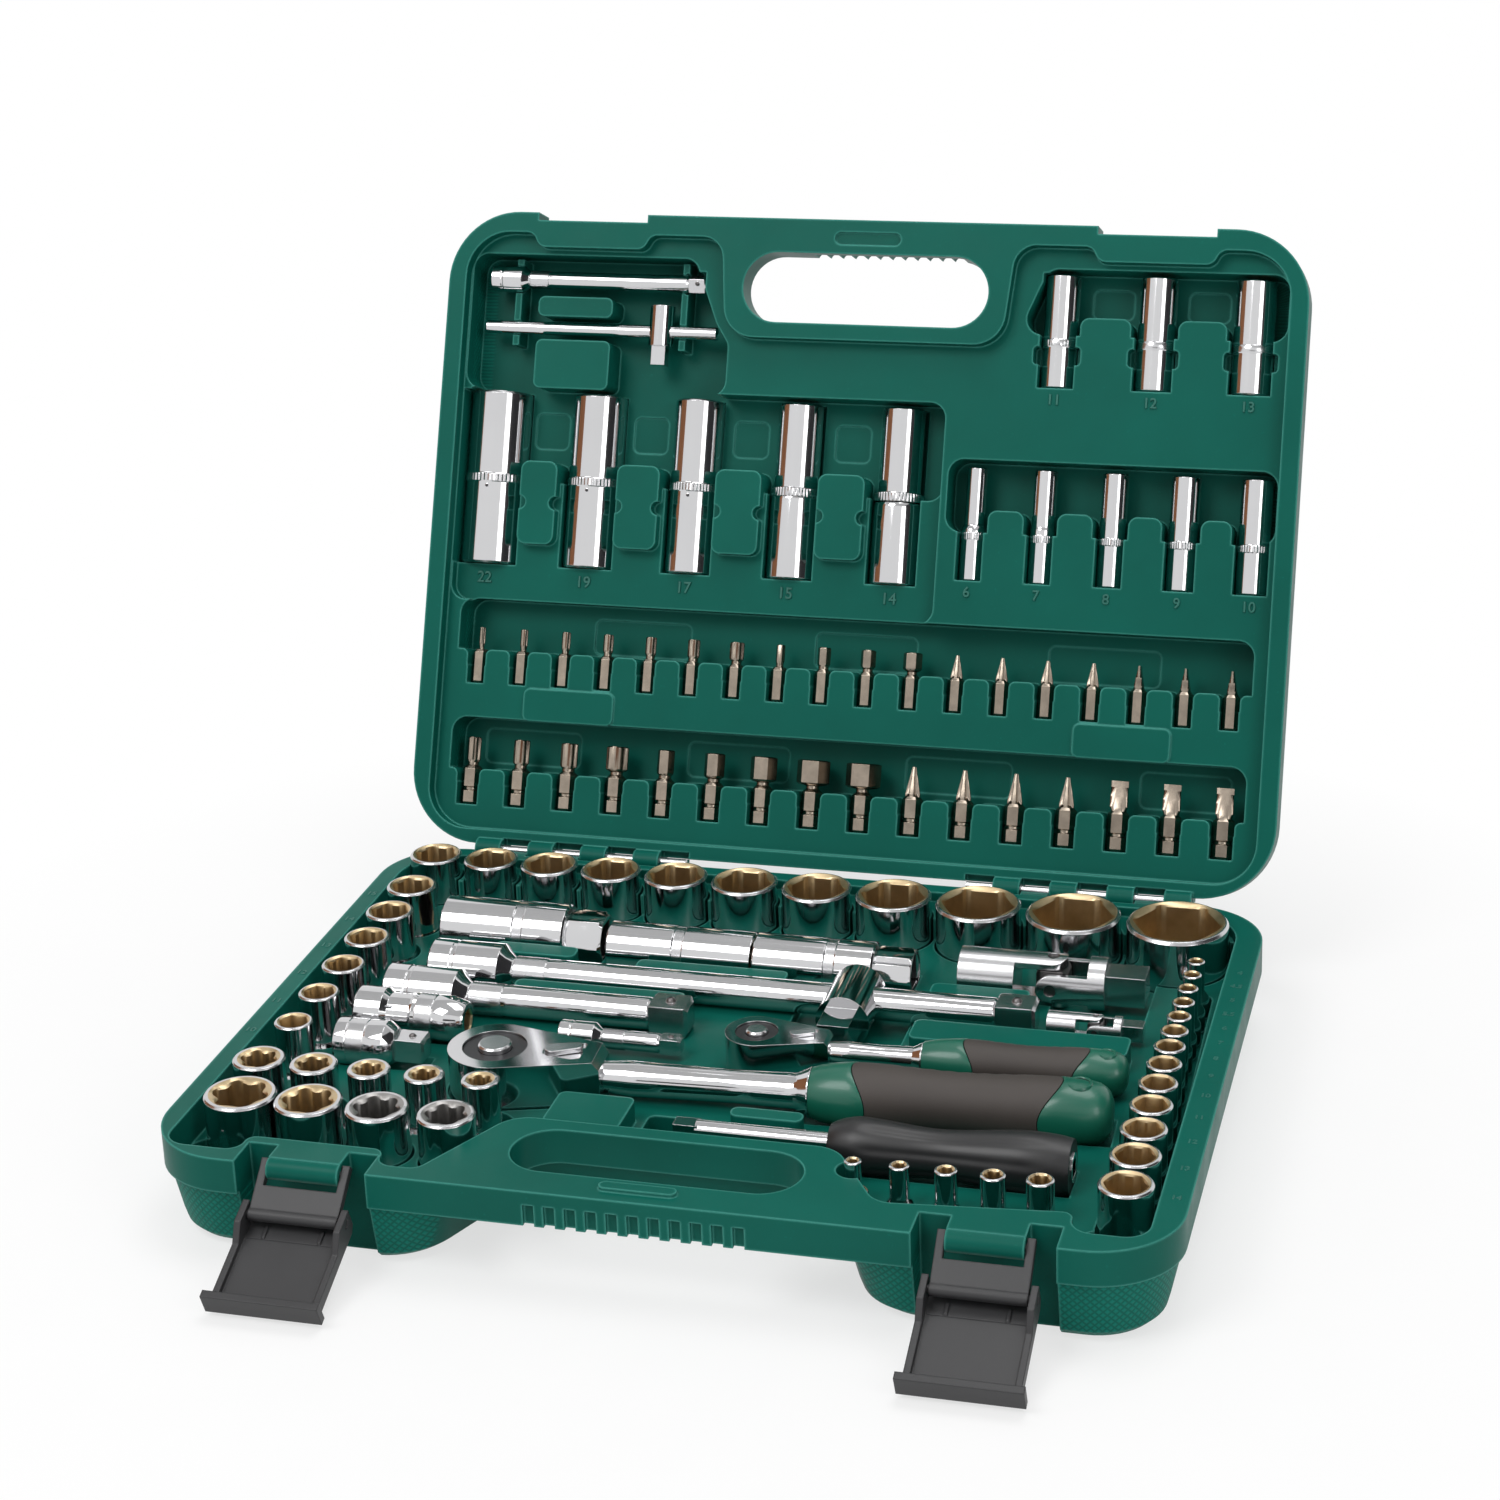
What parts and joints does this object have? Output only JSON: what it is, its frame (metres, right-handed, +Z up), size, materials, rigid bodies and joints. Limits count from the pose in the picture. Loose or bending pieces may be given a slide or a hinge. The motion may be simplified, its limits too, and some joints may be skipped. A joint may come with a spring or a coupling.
{
  "type": "socket wrench set in a carrying case",
  "caption": "Moulded carrying case standing open on its pinned hinge, with ratchets, sockets, extension bars, joints and bits seated in trays in base and lid.",
  "frame": {"origin": "middle of the base's flat underside, at floor level", "axes": "+X along the hinge to the right as seen from the handle, +Y from the handle to the hinge, +Z up"},
  "size_m": [0.385, 0.4738, 0.3033],
  "materials": {
    "case_plastic": "satin moulded dark green, fine texture on the foot",
    "latch_plastic": "satin dark grey moulding",
    "hinge_steel": "bright drawn wire",
    "tool_chrome": "polished chrome plate with satin ends",
    "joint_steel": "dark ground steel",
    "bit_steel": "satin nickel",
    "cover_plate": "dark satin plate",
    "grip_plastic": "glossy dark green moulding",
    "grip_rubber": "matt soft overmoulding",
    "spinner_plastic": "satin black moulding"
  },
  "bodies": {
    "case_base": {"case_base": "case_plastic", "hinge_pin_left": "hinge_steel", "hinge_pin_right": "hinge_steel", "half_sockets": "tool_chrome", "star_sockets": "tool_chrome", "quarter_sockets": "tool_chrome"},
    "case_lid": {"case_lid": "case_plastic", "deep_sockets": "tool_chrome", "small_bits_star": "bit_steel", "small_bits_hex": "bit_steel", "small_bits_cross": "bit_steel", "small_bits_slot": "bit_steel", "large_bits_star": "bit_steel", "large_bits_hex": "bit_steel", "large_bits_cross": "bit_steel", "large_bits_slot": "bit_steel"},
    "spinner": {"spinner_grip": "spinner_plastic", "spinner_shaft": "tool_chrome", "spinner_insert": "tool_chrome"},
    "latch_link_left": {"latch_link_left": "latch_plastic"},
    "latch_lever_left": {"latch_lever_left": "latch_plastic"},
    "latch_link_right": {"latch_link_right": "latch_plastic"},
    "latch_lever_right": {"latch_lever_right": "latch_plastic"},
    "half_ratchet": {"half_ratchet_body": "tool_chrome", "half_ratchet_cover": "cover_plate", "half_ratchet_grip": "grip_plastic", "half_ratchet_sleeve": "grip_rubber"},
    "half_ratchet_drive": {"half_ratchet_drive": "tool_chrome"},
    "half_ratchet_button": {"half_ratchet_button": "tool_chrome"},
    "half_ratchet_selector": {"half_ratchet_selector": "tool_chrome"},
    "half_joint": {"half_joint_socket_fork": "tool_chrome"},
    "half_joint_cross": {"half_joint_cross": "joint_steel"},
    "half_joint_drive": {"half_joint_drive_fork": "tool_chrome"},
    "quarter_ratchet": {"quarter_ratchet_body": "tool_chrome", "quarter_ratchet_cover": "cover_plate", "quarter_ratchet_grip": "grip_plastic", "quarter_ratchet_sleeve": "grip_rubber"},
    "quarter_ratchet_drive": {"quarter_ratchet_drive": "tool_chrome"},
    "quarter_ratchet_button": {"quarter_ratchet_button": "tool_chrome"},
    "quarter_ratchet_selector": {"quarter_ratchet_selector": "tool_chrome"},
    "quarter_joint": {"quarter_joint_socket_fork": "tool_chrome"},
    "quarter_joint_cross": {"quarter_joint_cross": "joint_steel"},
    "quarter_joint_drive": {"quarter_joint_drive_fork": "tool_chrome"},
    "half_extension_long": {"half_extension_long": "tool_chrome"},
    "half_extension_short": {"half_extension_short": "tool_chrome"},
    "quarter_extension_short": {"quarter_extension_short": "tool_chrome"},
    "quarter_extension_long": {"quarter_extension_long": "tool_chrome"},
    "half_sliding_head": {"half_sliding_head": "tool_chrome"},
    "quarter_t_bar": {"quarter_t_bar": "tool_chrome"},
    "quarter_t_head": {"quarter_t_head": "tool_chrome"},
    "plug_socket_large": {"plug_socket_large": "tool_chrome"},
    "plug_socket_small": {"plug_socket_small": "tool_chrome"},
    "plug_socket_medium": {"plug_socket_medium": "tool_chrome"},
    "bit_holder": {"bit_holder": "tool_chrome"},
    "drive_adapter": {"drive_adapter": "tool_chrome"}
  },
  "joints": [
    {"name": "lid_hinge", "type": "hinge", "parent": "case_base", "child": "case_lid", "pos_m": [0, 0.1439, 0.04015], "axis": [-1, 0, 0], "range_deg": [-113, 0]},
    {"name": "latch_link_left", "type": "hinge", "parent": "case_base", "child": "latch_link_left", "pos_m": [-0.1265, -0.1365, 0.0354], "axis": [-1, 0, 0], "range_deg": [-48, 70]},
    {"name": "latch_lever_left", "type": "hinge", "parent": "latch_link_left", "child": "latch_lever_left", "pos_m": [-0.1265, -0.14988, 0.02336], "axis": [1, 0, 0], "range_deg": [-161, 20]},
    {"name": "latch_link_right", "type": "hinge", "parent": "case_base", "child": "latch_link_right", "pos_m": [0.1265, -0.1365, 0.0354], "axis": [-1, 0, 0], "range_deg": [-48, 70]},
    {"name": "latch_lever_right", "type": "hinge", "parent": "latch_link_right", "child": "latch_lever_right", "pos_m": [0.1265, -0.14988, 0.02336], "axis": [1, 0, 0], "range_deg": [-161, 20]},
    {"name": "sliding_head_travel", "type": "slide", "parent": "half_extension_long", "child": "half_sliding_head", "axis": [1, 0, 0], "range_m": [-0.012, 0.012]},
    {"name": "t_head_travel", "type": "slide", "parent": "quarter_t_bar", "child": "quarter_t_head", "axis": [1, 0, 0], "range_m": [-0.015, 0.0012]},
    {"name": "half_joint_sway", "type": "hinge", "parent": "half_joint", "child": "half_joint_cross", "pos_m": [0.113, 0.0735, 0.034], "axis": [0, 0, 1], "range_deg": [-18, 18]},
    {"name": "half_joint_bend", "type": "hinge", "parent": "half_joint_cross", "child": "half_joint_drive", "pos_m": [0.113, 0.0735, 0.034], "axis": [0, -1, 0], "range_deg": [0, 40]},
    {"name": "quarter_joint_sway", "type": "hinge", "parent": "quarter_joint", "child": "quarter_joint_cross", "pos_m": [0.136, 0.038, 0.0323], "axis": [0, 0, 1], "range_deg": [-18, 18]},
    {"name": "quarter_joint_bend", "type": "hinge", "parent": "quarter_joint_cross", "child": "quarter_joint_drive", "pos_m": [0.136, 0.038, 0.0323], "axis": [0, -1, 0], "range_deg": [0, 40]},
    {"name": "half_ratchet_spin", "type": "hinge", "parent": "half_ratchet", "child": "half_ratchet_drive", "pos_m": [-0.085, -0.044, 0.034], "axis": [0, 0, 1], "continuous": true},
    {"name": "half_ratchet_select", "type": "hinge", "parent": "half_ratchet", "child": "half_ratchet_selector", "pos_m": [-0.06102, -0.04299, 0.034], "axis": [0, 0, 1], "range_deg": [-40, 0]},
    {"name": "half_ratchet_release", "type": "slide", "parent": "half_ratchet", "child": "half_ratchet_button", "axis": [0, 0, 1], "range_m": [-0.0016, 0], "stiffness_N_per_m": 1500, "springref_m": 0.0005},
    {"name": "quarter_ratchet_spin", "type": "hinge", "parent": "quarter_ratchet", "child": "quarter_ratchet_drive", "pos_m": [0.0105, -0.009, 0.0356], "axis": [0, 0, 1], "continuous": true},
    {"name": "quarter_ratchet_select", "type": "hinge", "parent": "quarter_ratchet", "child": "quarter_ratchet_selector", "pos_m": [0.02649, -0.00855, 0.0356], "axis": [0, 0, 1], "range_deg": [-40, 0]},
    {"name": "quarter_ratchet_release", "type": "slide", "parent": "quarter_ratchet", "child": "quarter_ratchet_button", "axis": [0, 0, 1], "range_m": [-0.0016, 0], "stiffness_N_per_m": 1500, "springref_m": 0.0005},
    {"name": "half_ratchet_lift", "type": "slide", "parent": "case_base", "child": "half_ratchet", "axis": [0, 0, 1], "range_m": [0, 0.06]},
    {"name": "quarter_ratchet_lift", "type": "slide", "parent": "case_base", "child": "quarter_ratchet", "axis": [0, 0, 1], "range_m": [0, 0.06]},
    {"name": "spinner_lift", "type": "slide", "parent": "case_base", "child": "spinner", "axis": [0, 0, 1], "range_m": [0, 0.06]},
    {"name": "half_extension_long_lift", "type": "slide", "parent": "case_base", "child": "half_extension_long", "axis": [0, 0, 1], "range_m": [0, 0.06]},
    {"name": "half_extension_short_lift", "type": "slide", "parent": "case_base", "child": "half_extension_short", "axis": [0, 0, 1], "range_m": [0, 0.06]},
    {"name": "quarter_extension_short_lift", "type": "slide", "parent": "case_base", "child": "quarter_extension_short", "axis": [0, 0, 1], "range_m": [0, 0.06]},
    {"name": "half_joint_lift", "type": "slide", "parent": "case_base", "child": "half_joint", "axis": [0, 0, 1], "range_m": [0, 0.06]},
    {"name": "quarter_joint_lift", "type": "slide", "parent": "case_base", "child": "quarter_joint", "axis": [0, 0, 1], "range_m": [0, 0.06]},
    {"name": "plug_socket_large_lift", "type": "slide", "parent": "case_base", "child": "plug_socket_large", "axis": [0, 0, 1], "range_m": [0, 0.06]},
    {"name": "plug_socket_small_lift", "type": "slide", "parent": "case_base", "child": "plug_socket_small", "axis": [0, 0, 1], "range_m": [0, 0.06]},
    {"name": "plug_socket_medium_lift", "type": "slide", "parent": "case_base", "child": "plug_socket_medium", "axis": [0, 0, 1], "range_m": [0, 0.06]},
    {"name": "bit_holder_lift", "type": "slide", "parent": "case_base", "child": "bit_holder", "axis": [0, 0, 1], "range_m": [0, 0.06]},
    {"name": "drive_adapter_lift", "type": "slide", "parent": "case_base", "child": "drive_adapter", "axis": [0, 0, 1], "range_m": [0, 0.06]},
    {"name": "quarter_extension_long_lift", "type": "slide", "parent": "case_lid", "child": "quarter_extension_long", "axis": [0, -0.9205, 0.3907], "range_m": [0, 0.06]},
    {"name": "quarter_t_bar_lift", "type": "slide", "parent": "case_lid", "child": "quarter_t_bar", "axis": [0, -0.9205, 0.3907], "range_m": [0, 0.06]}
  ]
}
